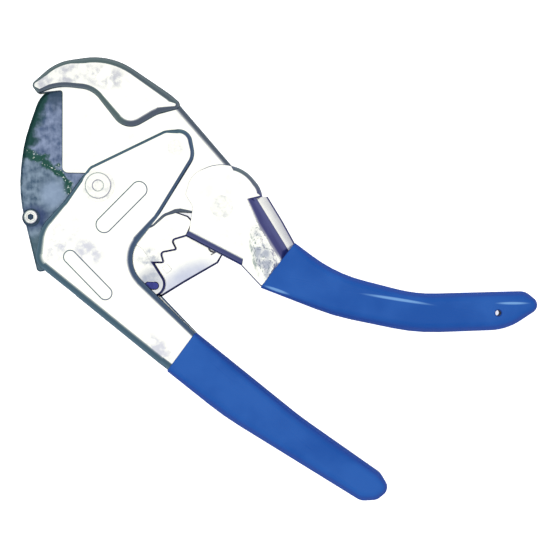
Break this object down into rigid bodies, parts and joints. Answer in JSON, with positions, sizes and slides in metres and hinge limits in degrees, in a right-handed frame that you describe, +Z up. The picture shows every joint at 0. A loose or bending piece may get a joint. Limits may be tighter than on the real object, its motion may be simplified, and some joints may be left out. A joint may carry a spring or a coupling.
{
  "type": "ratchet hook-jaw cutter",
  "caption": "Hand cutter: a swinging blade closes into a pressed hook jaw, driven by a toothed tail and pawl from two blue-gripped handles.",
  "frame": {"origin": "on the blade pivot's axis, at the rear face of its pin head, which lies on the supporting surface", "axes": "+X from the hook towards the handles, +Y towards the crown of the hook, +Z up from the rear side to the front side, along every pivot"},
  "size_m": [0.2114, 0.1814, 0.0158],
  "materials": {
    "nickel_plated_steel": "bright plated pressed sheet",
    "blued_blade_steel": "dark ground blade steel",
    "bright_steel": "bright turned steel",
    "spring_steel": "drawn spring wire",
    "bearing_bronze": "plain bearing bronze",
    "blue_vinyl": "glossy dipped vinyl"
  },
  "bodies": {
    "frame": {"hook_shell_front": "nickel_plated_steel", "hook_shell_rear": "nickel_plated_steel", "lower_handle_channel": "nickel_plated_steel", "lower_grip": "blue_vinyl", "frame_rivet": "bright_steel", "frame_spacer": "bright_steel", "main_pivot_pin": "bright_steel", "main_washer_front": "bright_steel", "main_washer_rear": "bright_steel", "handle_pivot_pin": "bright_steel", "handle_washer": "bright_steel", "handle_spring": "spring_steel"},
    "blade": {"cutting_blade": "blued_blade_steel", "blade_carrier": "nickel_plated_steel", "blade_bush": "bearing_bronze", "blade_screw": "bright_steel"},
    "upper_handle": {"upper_handle_channel": "nickel_plated_steel", "upper_grip": "blue_vinyl", "pawl_pin": "bright_steel", "pawl_spring": "spring_steel", "handle_bush_front": "bearing_bronze", "handle_bush_rear": "bearing_bronze"},
    "pawl": {"pawl": "nickel_plated_steel"}
  },
  "joints": [
    {"name": "blade_swing", "type": "hinge", "parent": "frame", "child": "blade", "pos_m": [0, 0, 0.0079], "axis": [0, 0, 1], "range_deg": [0, 37]},
    {"name": "handle_squeeze", "type": "hinge", "parent": "frame", "child": "upper_handle", "pos_m": [0.0504, -0.0086, 0.0079], "axis": [0, 0, 1], "range_deg": [-22, 0], "stiffness_Nm_per_rad": 0.6, "springref_deg": 14.32},
    {"name": "pawl_swing", "type": "hinge", "parent": "upper_handle", "child": "pawl", "pos_m": [0.047, -0.025, 0.0079], "axis": [0, 0, 1], "range_deg": [0, 37]}
  ],
  "couplings": [
    {"joint": "pawl_swing", "follows": "handle_squeeze", "ratio": -1.67}
  ]
}
